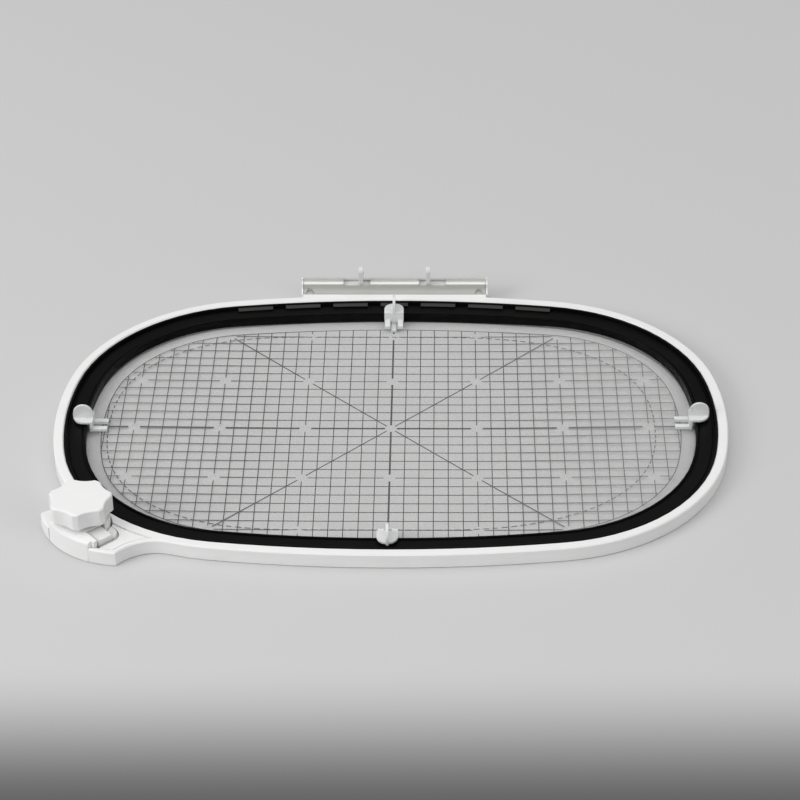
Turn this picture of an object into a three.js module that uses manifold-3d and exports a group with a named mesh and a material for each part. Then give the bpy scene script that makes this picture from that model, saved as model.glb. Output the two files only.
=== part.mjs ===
// Machine embroidery hoop: a split outer ring with a twist lock and a coupling for the machine's arm,
// an inner ring that presses the cloth into it, and a clear template held by four clips.
// Millimetres, +Z up. +X runs along the oval, +Y points to the coupling.
import * as THREE from 'three';
import { mergeVertices } from 'three/addons/utils/BufferGeometryUtils.js';
import Module from 'manifold-3d';

const wasm = await Module();
wasm.setup();

// Clearances
const SEAT_GAP = 0.2;
const SLIDE_GAP = 0.4;
const SHAFT_GAP = 0.15;
const RING_GAP = 0.3;

// Oval where the two rings meet: three arcs in each quarter
const HALF_LENGTH = 144.3;
const HALF_WIDTH = 98.5;
const END_RADIUS = 156;
const CORNER_RADIUS = 80;
const SIDE_RADIUS = 538;
const END_STEPS = 12;
const CORNER_STEPS = 14;
const SIDE_STEPS = 12;

// Outer ring
const RING_WIDTH = 4.4;
const RING_HEIGHT = 6.9;
const RING_EDGE = 0.5;

// Inner ring: rim, step groove, band, lip groove and lip from the outside in
const INNER_WIDTH = 9.3;
const INNER_LIFT = 0.1;
const INNER_EDGE = 0.4;
const RIM_WIDTH = 1;
const RIM_TOP = 6.7;
const STEP_GROOVE_WIDTH = 1.1;
const LIP_WIDTH = 0.9;
const LIP_GROOVE_WIDTH = 0.8;
const LIP_TOP = 5.5;
const BAND_TOP = 5;
const GROOVE_DEPTH = 0.5;

// Pads in the step groove at the rear
const PAD_TOP = 6;
const PAD_DEPTH = 2.9;
const PAD_LENGTH = 16.5;
const PAD_SPACE = 6;
const CENTRE_PAD_LENGTH = 13;
const PADS_EACH_SIDE = 3;
const PAD_ROOT = 0.2;

// Template
const TEMPLATE_GAP = 0.6;
const TEMPLATE_LIFT = 0.2;
const TEMPLATE_THICKNESS = 1.2;
const NOTCH_WIDTH = 3.2;
const NOTCH_DEPTH = 8.6;

// Clips that hold the template in the inner ring
const CLIP_WIDTH = 9;
const RIGHT_CLIP_OFFSET = 0.7;
const LEFT_CLIP_OFFSET = -1.7;
const CLIP_PLATE_BOTTOM = 6.3;
const CLIP_PLATE_THICKNESS = 0.9;
const CLIP_REACH = 7.3;
const CLIP_WALL = 1.2;
const CLIP_WALL_GAP = 1.6;
const PRONG_WIDTH = 2.5;
const PRONG_SPACE = 3.4;
const PRONG_LENGTH = 6.2;
const PRONG_THICKNESS = 1.3;
const PRONG_LIFT = 0.85;
const FIN_THICKNESS = 1.2;
const FIN_HEIGHT = 6.3;
const FIN_OVERHANG = 0.3;
const FIN_RIB_DROP = 1.1;

// Twist lock: knob
const LOCK_BEARING = 225.4;
const KNOB_RADIUS = 13.5;
const KNOB_VALLEY = 11.8;
const KNOB_LOBES = 7;
const KNOB_PHASE = 10.5;
const LOBE_HALF_ANGLE = 6;
const KNOB_HEIGHT = 8.1;
const KNOB_EDGE = 0.7;
const KNOB_INNER_RING_GAP = 0.2;
const KNOB_LIFT = 2.1;
const KNOB_SHIFT = 0.8;
const KNOB_HUB_RADIUS = 8;
const KNOB_SOCKET_ROOF = 1.6;

// Twist lock: housing seen from above
const HOUSING_RADIUS = 38.8;
const HOUSING_REACH = 12.8;
const RIGHT_SPAN = 26.2;
const RIGHT_FILLET = 19.6;
const LEFT_SPAN = 18;
const LEFT_FILLET = 14;
const LUG_REACH = 19.4;
const HOUSING_EDGE = 0.5;
const SPLIT_GAP = 0.7;
const RECESS_BORDER = 1.9;
const RECESS_DEPTH = 0.3;
const GROOVE_LINE_WIDTH = 0.7;
const GROOVE_LINE_DEPTH = 1.2;
const POCKET_DEPTH = 2.3;

// Twist lock: cover
const BOSS_RADIUS = 12;
const SKIRT_THICKNESS = 2;
const SKIRT_LIFT = 0.3;
const SKIRT_START = 6.8;
const SKIRT_END = 16.1;
const FINGER_LENGTH = 17.7;
const FINGER_TIP_WIDTH = 1.7;
const COVER_ROOF = 0.9;
const COVER_LEAN = 0.3;
const COVER_SHOULDER_HEIGHT = 8.4;
const COVER_CROWN_INSET = 5;
const ROOF_REACH = 9.6;

// Twist lock: cam, link and pin
const LINK_TURN = 86.6;
const LINK_LEFT = 3.9;
const LINK_RIGHT = 3.5;
const LINK_HEIGHT = 2.8;
const LINK_LEFT_SPACE = 1;
const LINK_EDGE = 0.9;
const LINK_EDGE_STEPS = 2;
const LINK_END = 17.2;
const LINK_TRAVEL = 1;
const FOOT_START = 12.4;
const FOOT_CENTRE = 12;
const FOOT_SIDE = 3;
const FOOT_RADIUS = 5;
const FOOT_TAIL = 2.4;
const PEG_LENGTH = 2;
const PEG_SIDE = 1;
const PEG_INSET = 1.5;
const PEG_DROP = 3.2;
const PIN_RADIUS = 1;
const PIN_START = 4;
const PIN_SOCKET_DEPTH = 1.8;
const CAM_RADIUS = 8.6;
const CAM_HEIGHT = 3.5;
const CAM_TURN = 180;
const CAM_WEB = 0.8;
const CAM_STEPS = 24;
const BASE_FLOOR = 2.2;
const BASE_MARGIN = 2.8;

// Twist lock: spindle and screws
const SPINDLE_RADIUS = 2;
const SPINDLE_RECESS_RADIUS = 3.6;
const SPINDLE_RECESS_DEPTH = 1.2;
const WASHER_RADIUS = 3.2;
const WASHER_THICKNESS = 0.4;
const SPINDLE_SCREW_HEAD_RADIUS = 1.8;
const SPINDLE_SCREW_HEAD_HEIGHT = 0.4;
const SPINDLE_SCREW_RADIUS = 0.8;
const SPINDLE_SCREW_LENGTH = 4;
const COVER_SCREW_TURNS = [45, 200];
const COVER_SCREW_SPOT = 10.3;
const COVER_SCREW_HEAD_RADIUS = 1.25;
const COVER_SCREW_HEAD_HEIGHT = 1.2;
const COVER_SCREW_RADIUS = 0.8;
const COVER_SCREW_BITE = 2;

// Coupling: flange on the ring and the rail behind it
const RAIL_HALF_LENGTH = 43.2;
const FLANGE_STAND_OFF = 0.4;
const FLANGE_DEPTH = 3.3;
const RAIL_DEPTH = 10.1;
const RAIL_WALL = 1.6;
const RAIL_FRONT_ROOF = 5.5;
const RAIL_SHELF = 0.9;
const COVE_RADIUS = 2.5;
const LEDGE_HEIGHT = 10.35;
const LEDGE_DEPTH = 2.5;
const LIP_RISE = 1.7;
const LIP_DEPTH = 1;
const BACK_EDGE_HEIGHT = 9.6;
const CATCH_WAY_WIDTH = 3.7;
const CATCH_WAY_ROOF = 9.3;
const NOTCH_START = 11.6;
const NOTCH_END = 24.3;
const SPRING_STOP_THICKNESS = 1.6;
const SPRING_STOP_BOTTOM = 4.6;
const CATCH_STOP_THICKNESS = 1.5;
const CATCH_STOP_BOTTOM = 6.4;
const CAP_THICKNESS = 0.9;
const CAP_PLUG_LENGTH = 3;
const CAP_PLUG_BOTTOM = 5.8;

// Coupling: lugs and screws
const LUG_SPOT = 40.1;
const LUG_WIDTH = 5.4;
const LUG_DEPTH = 3.7;
const RAIL_SCREW_OFFSET = 1.4;
const RAIL_SCREW_HEAD_RADIUS = 1.6;
const RAIL_SCREW_HEAD_HEIGHT = 0.7;
const RAIL_SCREW_SEAT = 6.2;
const RAIL_SCREW_RADIUS = 0.9;
const RAIL_SCREW_TIP = 1.5;

// Coupling: catches and their springs
const TAB_SPOT = 15.9;
const TAB_THICKNESS = 2.1;
const TAB_OVERHANG = 1.9;
const TAB_RISE = 9.5;
const SLIDE_THICKNESS = 0.9;
const SLIDE_START = 8.9;
const SLIDE_LENGTH = 17.6;
const SPRING_SEAT_THICKNESS = 1.5;
const SPRING_SEAT_BOTTOM = 5.4;
const HOOK_START = 19.5;
const HOOK_WIDTH = 3;
const HOOK_BOTTOM = 3;
const HOOK_NOSE = 1.5;
const SPRING_RADIUS = 1.2;
const SPRING_WIRE = 0.28;
const SPRING_TURNS = 5;
const SPRING_HEIGHT = 7.1;
const STEPS_PER_TURN = 8;
const WIRE_SIDES = 5;

// Fineness of curves
const ARC_STEPS = 6;
const HOLE_SIDES = 16;
const ROUND_SIDES = 40;
const WELD = 1e-4;
// Length of a cutting tool that only has to pass through
const FAR = 60;

const rad = THREE.MathUtils.degToRad;

// Closed solid from a geometry, with shared corners and without empty faces
function solidOf(geometry) {
  const bare = geometry.clone();
  bare.deleteAttribute('normal');
  bare.deleteAttribute('uv');
  const welded = mergeVertices(bare, WELD);
  const corners = welded.index.array;
  const kept = [];
  for (let i = 0; i < corners.length; i += 3) {
    const [a, b, c] = [corners[i], corners[i + 1], corners[i + 2]];
    if (a !== b && b !== c && c !== a) {
      kept.push(a, b, c);
    }
  }
  return new wasm.Manifold(new wasm.Mesh({
    numProp: 3,
    vertProperties: Float32Array.from(welded.attributes.position.array),
    triVerts: Uint32Array.from(kept),
  }));
}

function geometryOf(solid) {
  const mesh = solid.getMesh();
  return geometryFrom(mesh.vertProperties, mesh.triVerts);
}

function geometryFrom(positions, faces) {
  const geometry = new THREE.BufferGeometry();
  geometry.setAttribute('position', new THREE.BufferAttribute(Float32Array.from(positions), 3));
  geometry.setIndex(new THREE.BufferAttribute(Uint32Array.from(faces), 1));
  geometry.computeVertexNormals();
  return geometry;
}

// Union of several solids
function joined(solids) {
  return solids.reduce((whole, piece) => whole.add(piece));
}

function extruded(shape, depth, segments) {
  return new THREE.ExtrudeGeometry(shape, { depth, bevelEnabled: false, curveSegments: segments });
}

// Upright prism from an outline in plan
function prism(shape, bottom, top, segments = ARC_STEPS) {
  return solidOf(extruded(shape, top - bottom, segments).translate(0, 0, bottom));
}

// Prism along X from an outline in Y and Z
function alongX(shape, first, second) {
  const start = Math.min(first, second);
  const geometry = extruded(shape, Math.abs(second - first), ARC_STEPS);
  const turn = new THREE.Matrix4().makeBasis(
    new THREE.Vector3(0, 1, 0),
    new THREE.Vector3(0, 0, 1),
    new THREE.Vector3(1, 0, 0),
  );
  return solidOf(geometry.applyMatrix4(turn).translate(start, 0, 0));
}

// Prism across Y from an outline in X and Z
function acrossY(shape, first, second) {
  const geometry = extruded(shape, Math.abs(second - first), ARC_STEPS);
  return solidOf(geometry.rotateX(Math.PI / 2).translate(0, Math.max(first, second), 0));
}

// Box between two corners, given in any order
function block(x0, x1, y0, y1, z0, z1) {
  const geometry = new THREE.BoxGeometry(Math.abs(x1 - x0), Math.abs(y1 - y0), Math.abs(z1 - z0));
  return solidOf(geometry.translate((x0 + x1) / 2, (y0 + y1) / 2, (z0 + z1) / 2));
}

// Body turned about an upright axis; the profile is pairs of radius and height
function turned(profile, x, y, sides = HOLE_SIDES) {
  const points = profile.map(([radius, height]) => new THREE.Vector2(radius, height));
  const geometry = new THREE.LatheGeometry(points, sides);
  return solidOf(geometry.rotateX(Math.PI / 2).translate(x, y, 0));
}

function rod(x, y, radius, bottom, top, sides = HOLE_SIDES) {
  return turned([[0, bottom], [radius, bottom], [radius, top], [0, top]], x, y, sides);
}

// Oval of the rings
const endCentre = HALF_LENGTH - END_RADIUS;
const sideCentre = HALF_WIDTH - SIDE_RADIUS;

// Crossing points of two circles
function crossings(p, pRadius, q, qRadius) {
  const span = q.clone().sub(p);
  const distance = span.length();
  const along = (pRadius ** 2 - qRadius ** 2 + distance ** 2) / (2 * distance);
  const aside = Math.sqrt(pRadius ** 2 - along ** 2);
  const forward = span.clone().normalize();
  const across = new THREE.Vector2(-forward.y, forward.x);
  const foot = p.clone().addScaledVector(forward, along);
  return [foot.clone().addScaledVector(across, aside), foot.clone().addScaledVector(across, -aside)];
}

function nearest(points, target) {
  return points.reduce((best, point) => (point.distanceTo(target) < best.distanceTo(target) ? point : best));
}

const cornerCentre = crossings(
  new THREE.Vector2(endCentre, 0),
  END_RADIUS - CORNER_RADIUS,
  new THREE.Vector2(0, sideCentre),
  SIDE_RADIUS - CORNER_RADIUS,
).reduce((best, point) => (point.x > best.x ? point : best));
const endAngle = Math.atan2(cornerCentre.y, cornerCentre.x - endCentre);
const sideAngle = Math.atan2(cornerCentre.y - sideCentre, cornerCentre.x);

// Stations round the oval, each with its point on the joint line and its outward direction
function ovalStations() {
  const { x, y } = cornerCentre;
  const turn = 2 * Math.PI;
  const arcs = [
    [endCentre, 0, END_RADIUS, -endAngle, endAngle, END_STEPS],
    [x, y, CORNER_RADIUS, endAngle, sideAngle, CORNER_STEPS],
    [0, sideCentre, SIDE_RADIUS, sideAngle, Math.PI - sideAngle, SIDE_STEPS],
    [-x, y, CORNER_RADIUS, Math.PI - sideAngle, Math.PI - endAngle, CORNER_STEPS],
    [-endCentre, 0, END_RADIUS, Math.PI - endAngle, Math.PI + endAngle, END_STEPS],
    [-x, -y, CORNER_RADIUS, Math.PI + endAngle, Math.PI + sideAngle, CORNER_STEPS],
    [0, -sideCentre, SIDE_RADIUS, Math.PI + sideAngle, turn - sideAngle, SIDE_STEPS],
    [x, -y, CORNER_RADIUS, turn - sideAngle, turn - endAngle, CORNER_STEPS],
  ];
  return arcs.flatMap(([cx, cy, radius, from, to, steps]) => Array.from({ length: steps }, (_, k) => {
    const angle = from + ((to - from) * k) / steps;
    const out = new THREE.Vector2(Math.cos(angle), Math.sin(angle));
    return { out, point: new THREE.Vector2(cx, cy).addScaledVector(out, radius) };
  }));
}

const stations = ovalStations();

// Ring with one section all round the oval; section points are distance outward and height
function ovalRing(section) {
  const positions = [];
  const faces = [];
  stations.forEach(({ point, out }, i) => {
    const here = i * section.length;
    const next = ((i + 1) % stations.length) * section.length;
    section.forEach(([outward, height], j) => {
      const k = (j + 1) % section.length;
      positions.push(point.x + out.x * outward, point.y + out.y * outward, height);
      faces.push(here + j, next + j, next + k, here + j, next + k, here + k);
    });
  });
  return solidOf(geometryFrom(positions, faces));
}

function ovalShape(outward) {
  return new THREE.Shape(stations.map(({ point, out }) => point.clone().addScaledVector(out, outward)));
}

// Inner ring
const innerOut = -RING_GAP;
const innerIn = innerOut - INNER_WIDTH;
const grooveFloor = BAND_TOP - GROOVE_DEPTH;

function innerRing() {
  const rim = innerOut - RIM_WIDTH;
  const step = rim - STEP_GROOVE_WIDTH;
  const lip = innerIn + LIP_WIDTH;
  const band = lip + LIP_GROOVE_WIDTH;
  const ring = ovalRing([
    [innerIn + INNER_EDGE, INNER_LIFT],
    [innerOut - INNER_EDGE, INNER_LIFT],
    [innerOut, INNER_LIFT + INNER_EDGE],
    [innerOut, RIM_TOP],
    [rim, RIM_TOP],
    [rim, grooveFloor],
    [step, grooveFloor],
    [step, BAND_TOP],
    [band, BAND_TOP],
    [band, grooveFloor],
    [lip, grooveFloor],
    [lip, LIP_TOP],
    [innerIn, LIP_TOP],
    [innerIn, INNER_LIFT + INNER_EDGE],
  ]);
  const pads = [rearPad(0, CENTRE_PAD_LENGTH, rim)];
  for (let i = 0; i < PADS_EACH_SIDE; i += 1) {
    const spot = CENTRE_PAD_LENGTH / 2 + PAD_SPACE + i * (PAD_LENGTH + PAD_SPACE) + PAD_LENGTH / 2;
    pads.push(rearPad(spot, PAD_LENGTH, rim), rearPad(-spot, PAD_LENGTH, rim));
  }
  return joined([ring, ...pads]);
}

// Pad that follows the rear side of the oval, rooted in the rim and the band
function rearPad(spot, length, rim) {
  const outerRadius = SIDE_RADIUS + rim + PAD_ROOT;
  const innerRadius = SIDE_RADIUS + rim - PAD_DEPTH;
  const middle = Math.PI / 2 - spot / SIDE_RADIUS;
  const half = length / 2 / SIDE_RADIUS;
  const shape = new THREE.Shape();
  shape.absarc(0, sideCentre, outerRadius, middle - half, middle + half, false);
  shape.absarc(0, sideCentre, innerRadius, middle + half, middle - half, true);
  return prism(shape, grooveFloor - PAD_ROOT, PAD_TOP, 2);
}

// Template, with a notch for each clip's tongue
const templateOut = innerIn - TEMPLATE_GAP;
const templateTop = TEMPLATE_LIFT + TEMPLATE_THICKNESS;
const clipPlaces = [
  ['clip_right', HALF_LENGTH, RIGHT_CLIP_OFFSET, 0],
  ['clip_rear', 0, HALF_WIDTH, 90],
  ['clip_left', -HALF_LENGTH, LEFT_CLIP_OFFSET, 180],
  ['clip_front', 0, -HALF_WIDTH, 270],
];

function template() {
  const sheet = prism(ovalShape(templateOut), TEMPLATE_LIFT, templateTop);
  const notches = clipPlaces.map(([, x, y, bearing]) => {
    const notch = new THREE.BoxGeometry(2 * NOTCH_DEPTH, NOTCH_WIDTH, FAR);
    return solidOf(notch.translate(templateOut, 0, 0).rotateZ(rad(bearing)).translate(x, y, 0));
  });
  return sheet.subtract(joined(notches));
}

// Clip, with its origin on the joint line of the rings and +X outward
function clip() {
  const wallOut = innerIn - CLIP_WALL_GAP;
  const wallIn = wallOut - CLIP_WALL;
  const plateTop = CLIP_PLATE_BOTTOM + CLIP_PLATE_THICKNESS;
  const half = CLIP_WIDTH / 2;
  const plateOut = wallOut + CLIP_REACH;
  const prongBottom = templateTop + PRONG_LIFT;
  const tongueIn = templateOut - NOTCH_DEPTH + SLIDE_GAP;
  const tongueWidth = NOTCH_WIDTH - 2 * SLIDE_GAP;

  const plate = new THREE.Shape();
  plate.moveTo(wallIn, half);
  plate.lineTo(wallIn, -half);
  plate.absarc(plateOut - half, 0, half, -Math.PI / 2, Math.PI / 2, false);

  const finOut = plateOut + FIN_OVERHANG;
  const finRadius = (finOut - wallIn) / 2;
  const finTop = plateTop + FIN_HEIGHT;
  const ribIn = innerIn + LIP_WIDTH + RING_GAP;
  const ribOut = innerOut - RIM_WIDTH - PAD_DEPTH - RING_GAP;
  const fin = new THREE.Shape();
  fin.moveTo(ribIn, CLIP_PLATE_BOTTOM - FIN_RIB_DROP);
  fin.lineTo(ribOut, CLIP_PLATE_BOTTOM - FIN_RIB_DROP);
  fin.lineTo(ribOut, CLIP_PLATE_BOTTOM);
  fin.lineTo(finOut, CLIP_PLATE_BOTTOM);
  fin.absarc(wallIn + finRadius, finTop - finRadius, finRadius, 0, Math.PI, false);
  fin.lineTo(wallIn, CLIP_PLATE_BOTTOM);
  fin.lineTo(ribIn, CLIP_PLATE_BOTTOM);

  const prongs = [-1, 1].map((side) => block(
    wallIn - PRONG_LENGTH,
    wallOut,
    side * (PRONG_SPACE / 2),
    side * (PRONG_SPACE / 2 + PRONG_WIDTH),
    prongBottom,
    prongBottom + PRONG_THICKNESS,
  ));
  return joined([
    prism(plate, CLIP_PLATE_BOTTOM, plateTop),
    acrossY(fin, -FIN_THICKNESS / 2, FIN_THICKNESS / 2),
    block(wallIn, wallOut, -half, half, prongBottom, plateTop),
    block(wallIn, wallOut, -tongueWidth / 2, tongueWidth / 2, TEMPLATE_LIFT, plateTop),
    block(tongueIn, wallOut, -tongueWidth / 2, tongueWidth / 2, TEMPLATE_LIFT, templateTop),
    ...prongs,
  ]);
}

// Lock frame: u along the link, v square to it, both from the knob's axis
function toward(bearing) {
  return new THREE.Vector2(Math.cos(rad(bearing)), Math.sin(rad(bearing)));
}

const lockCorner = cornerCentre.clone().negate();
const ringOutRadius = CORNER_RADIUS + RING_WIDTH;
const linkBearing = LOCK_BEARING + LINK_TURN;
const knobSpot = lockCorner.clone()
  .addScaledVector(toward(LOCK_BEARING), CORNER_RADIUS + innerOut + KNOB_INNER_RING_GAP + KNOB_RADIUS)
  .addScaledVector(toward(linkBearing), KNOB_SHIFT);

function lockSpot(u, v) {
  return knobSpot.clone()
    .addScaledVector(toward(linkBearing), u)
    .addScaledVector(toward(linkBearing + 90), v);
}

function lockPlaced(geometry) {
  return solidOf(geometry.rotateZ(rad(linkBearing)).translate(knobSpot.x, knobSpot.y, 0));
}

function lockBlock(u0, u1, v0, v1, z0, z1) {
  const geometry = new THREE.BoxGeometry(Math.abs(u1 - u0), Math.abs(v1 - v0), Math.abs(z1 - z0));
  return lockPlaced(geometry.translate((u0 + u1) / 2, (v0 + v1) / 2, (z0 + z1) / 2));
}

function lockRod(radius, bottom, top, sides = ROUND_SIDES) {
  return rod(knobSpot.x, knobSpot.y, radius, bottom, top, sides);
}

// Heights in the lock, from the base up
const camBottom = BASE_FLOOR + RING_GAP;
const camTop = camBottom + CAM_HEIGHT;
const linkBottom = camTop + SLIDE_GAP;
const linkTop = linkBottom + LINK_HEIGHT;
const pegBottom = linkBottom - PEG_DROP;
const coverTop = linkTop + SLIDE_GAP + COVER_ROOF;
const knobBottom = coverTop + KNOB_LIFT;
const knobTop = knobBottom + KNOB_HEIGHT;
const pinBottom = camBottom + CAM_WEB + SLIDE_GAP;
const coverSeat = RING_HEIGHT + SEAT_GAP;

// Widths in the lock
const cavityRadius = CAM_RADIUS + SLIDE_GAP;
const baseRadius = cavityRadius + BASE_MARGIN;
const channelLeft = -LINK_LEFT - LINK_LEFT_SPACE;
const channelRight = LINK_RIGHT + SLIDE_GAP;
const pegLeft = PEG_SIDE - LINK_LEFT;
const pegRight = LINK_RIGHT - PEG_SIDE;
const skirtIn = HOUSING_RADIUS - SKIRT_THICKNESS;
const pegOut = LINK_END - PEG_INSET;
const pegIn = pegOut - PEG_LENGTH;
const pocketFloor = RING_HEIGHT - POCKET_DEPTH;

// Plan of the housing: a long outer arc, run into the ring by a hollow fillet at each end
const housingCentre = lockSpot(-KNOB_SHIFT, HOUSING_RADIUS - HOUSING_REACH);
const rightBearing = LOCK_BEARING + RIGHT_SPAN;
const leftBearing = LOCK_BEARING - LEFT_SPAN;
const rightFilletCentre = cornerSpot(rightBearing, ringOutRadius + RIGHT_FILLET);
const leftFilletCentre = cornerSpot(leftBearing, ringOutRadius + LEFT_FILLET);

// Point at a bearing and a distance from the centre of the ring's corner arc
function cornerSpot(bearing, distance) {
  return lockCorner.clone().addScaledVector(toward(bearing), distance);
}

function angleFrom(centre, point) {
  return Math.atan2(point.y - centre.y, point.x - centre.x);
}

// Arc about a centre from one point to another
function arcTo(shape, centre, radius, from, to, clockwise) {
  shape.absarc(centre.x, centre.y, radius, angleFrom(centre, from), angleFrom(centre, to), clockwise);
}

function housingShape() {
  const leftStart = cornerSpot(leftBearing, ringOutRadius);
  const rightEnd = cornerSpot(rightBearing, ringOutRadius);
  const leftMeets = crossings(housingCentre, HOUSING_RADIUS, leftFilletCentre, LEFT_FILLET);
  const rightMeets = crossings(housingCentre, HOUSING_RADIUS, rightFilletCentre, RIGHT_FILLET);
  const leftTip = nearest(leftMeets, knobSpot);
  const rightTip = nearest(rightMeets, knobSpot);
  const shape = new THREE.Shape();
  arcTo(shape, leftFilletCentre, LEFT_FILLET, leftStart, leftTip, true);
  arcTo(shape, housingCentre, HOUSING_RADIUS, leftTip, rightTip, false);
  arcTo(shape, rightFilletCentre, RIGHT_FILLET, rightTip, rightEnd, true);
  arcTo(shape, lockCorner, CORNER_RADIUS + RING_WIDTH / 2, rightEnd, leftStart, true);
  return shape;
}

// Field of the right plate: a border's width inside the housing, up to the ring's outer face
function recessShape(border) {
  const arcRadius = HOUSING_RADIUS - border;
  const filletRadius = RIGHT_FILLET + border;
  const ringSide = ringOutRadius + border - RECESS_BORDER;
  const start = lockSpot(0, 0);
  const corner = nearest(crossings(housingCentre, arcRadius, rightFilletCentre, filletRadius), knobSpot);
  const tip = nearest(crossings(lockCorner, ringSide, rightFilletCentre, filletRadius), knobSpot);
  const shape = new THREE.Shape();
  arcTo(shape, housingCentre, arcRadius, start, corner, false);
  arcTo(shape, rightFilletCentre, filletRadius, corner, tip, true);
  arcTo(shape, lockCorner, ringSide, tip, start, true);
  return shape;
}

// The housing in full, with its upper and lower edges broken
function housingBlock() {
  const geometry = new THREE.ExtrudeGeometry(housingShape(), {
    depth: RING_HEIGHT - 2 * HOUSING_EDGE,
    bevelThickness: HOUSING_EDGE,
    bevelSize: HOUSING_EDGE,
    bevelOffset: -HOUSING_EDGE,
    bevelSegments: 1,
    curveSegments: ARC_STEPS,
  });
  return solidOf(geometry.translate(0, 0, HOUSING_EDGE));
}

// Upright prism from an outline in the lock's own directions
function lockPrism(shape, bottom, top) {
  return lockPlaced(extruded(shape, top - bottom, ARC_STEPS).translate(0, 0, bottom));
}

// Pocket in the right plate: the foot of the link with room to move out
function pocketShape() {
  const corner = FOOT_CENTRE + LINK_TRAVEL;
  const radius = FOOT_RADIUS + SLIDE_GAP;
  const shape = new THREE.Shape();
  shape.moveTo(0, channelLeft);
  shape.lineTo(corner + radius, channelLeft);
  shape.absarc(corner, FOOT_SIDE, radius, 0, Math.PI / 2, false);
  shape.lineTo(0, FOOT_SIDE + radius);
  return shape;
}

// Right plate: the ring's free end beyond the split, with a grooved field,
// the link's pocket and the peg's slot
function rightPlate() {
  const grooveFoot = RING_HEIGHT - GROOVE_LINE_DEPTH;
  const groove = prism(recessShape(RECESS_BORDER), grooveFoot, FAR)
    .subtract(prism(recessShape(RECESS_BORDER + GROOVE_LINE_WIDTH), -FAR, 2 * FAR));
  return housingBlock().subtract(joined([
    lockRod(BOSS_RADIUS + SPLIT_GAP, -FAR, FAR),
    lockBlock(-FAR, 0, -FAR, FAR, -FAR, FAR),
    lockBlock(-FAR, SKIRT_END + SEAT_GAP, -FAR, channelLeft + SPLIT_GAP, -FAR, FAR),
    prism(recessShape(RECESS_BORDER), RING_HEIGHT - RECESS_DEPTH, FAR),
    groove,
    lockPrism(pocketShape(), pocketFloor, FAR),
    lockBlock(
      pegIn - SLIDE_GAP,
      pegOut + LINK_TRAVEL + SLIDE_GAP,
      pegLeft - SLIDE_GAP,
      pegRight + SLIDE_GAP,
      pegBottom - SLIDE_GAP,
      FAR,
    ),
  ]));
}

// Base under the cover, and the lug beside it
function leftBase() {
  const inside = rod(housingCentre.x, housingCentre.y, skirtIn - SEAT_GAP, -FAR, FAR, 2 * ROUND_SIDES);
  const disc = lockRod(baseRadius, -FAR, FAR).intersect(inside);
  const lug = lockRod(LUG_REACH, -FAR, FAR)
    .intersect(lockBlock(-FAR, -SKIRT_START - RING_GAP, -FAR, FAR, -FAR, FAR));
  const linkWay = lockBlock(0, FAR, channelLeft, channelRight, linkBottom - RING_GAP, FAR);
  return housingBlock().intersect(disc.add(lug)).subtract(linkWay);
}

function coverScrewSpots() {
  return COVER_SCREW_TURNS.map((turn) => {
    const aim = toward(turn);
    return lockSpot(aim.x * COVER_SCREW_SPOT, aim.y * COVER_SCREW_SPOT);
  });
}

// Flange and lugs that carry the coupling's rail
const flangeBack = HALF_WIDTH + RING_WIDTH + FLANGE_STAND_OFF;
const railFront = flangeBack + SEAT_GAP;
const railScrewY = railFront + RAIL_SCREW_OFFSET;
const lugTop = RAIL_FRONT_ROOF - SEAT_GAP;

function railMount() {
  const halfLength = RAIL_HALF_LENGTH + SEAT_GAP;
  const lugs = [-1, 1].map((side) => block(
    side * LUG_SPOT - LUG_WIDTH / 2,
    side * LUG_SPOT + LUG_WIDTH / 2,
    flangeBack - RING_EDGE,
    flangeBack + LUG_DEPTH,
    0,
    lugTop,
  ));
  return joined([
    block(-halfLength, halfLength, flangeBack - FLANGE_DEPTH, flangeBack, 0, RING_HEIGHT),
    ...lugs,
  ]);
}

function outerRing() {
  const band = ovalRing([
    [RING_EDGE, 0],
    [RING_WIDTH - RING_EDGE, 0],
    [RING_WIDTH, RING_EDGE],
    [RING_WIDTH, RING_HEIGHT - RING_EDGE],
    [RING_WIDTH - RING_EDGE, RING_HEIGHT],
    [RING_EDGE, RING_HEIGHT],
    [0, RING_HEIGHT - RING_EDGE],
    [0, RING_EDGE],
  ]);
  const split = lockRod(BOSS_RADIUS + SPLIT_GAP, -FAR, FAR)
    .subtract(lockRod(BOSS_RADIUS, -FAR, FAR))
    .intersect(lockBlock(0, FAR, -FAR, FAR, -FAR, FAR));
  const screwWays = coverScrewSpots().flatMap(({ x, y }) => [
    rod(x, y, COVER_SCREW_RADIUS + SEAT_GAP, -FAR, FAR),
    rod(x, y, COVER_SCREW_HEAD_RADIUS + SEAT_GAP, -FAR, COVER_SCREW_HEAD_HEIGHT + 2 * SEAT_GAP),
  ]);
  const railScrewWays = [-1, 1].map((side) => (
    rod(side * LUG_SPOT, railScrewY, RAIL_SCREW_RADIUS + SEAT_GAP, -FAR, FAR)
  ));
  return joined([band.subtract(split), rightPlate(), leftBase(), railMount()]).subtract(joined([
    lockRod(cavityRadius, BASE_FLOOR, FAR),
    lockRod(SPINDLE_RADIUS + SHAFT_GAP, -FAR, FAR, HOLE_SIDES),
    lockRod(SPINDLE_RECESS_RADIUS, -FAR, SPINDLE_RECESS_DEPTH, HOLE_SIDES),
    ...screwWays,
    ...railScrewWays,
  ]));
}

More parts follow.
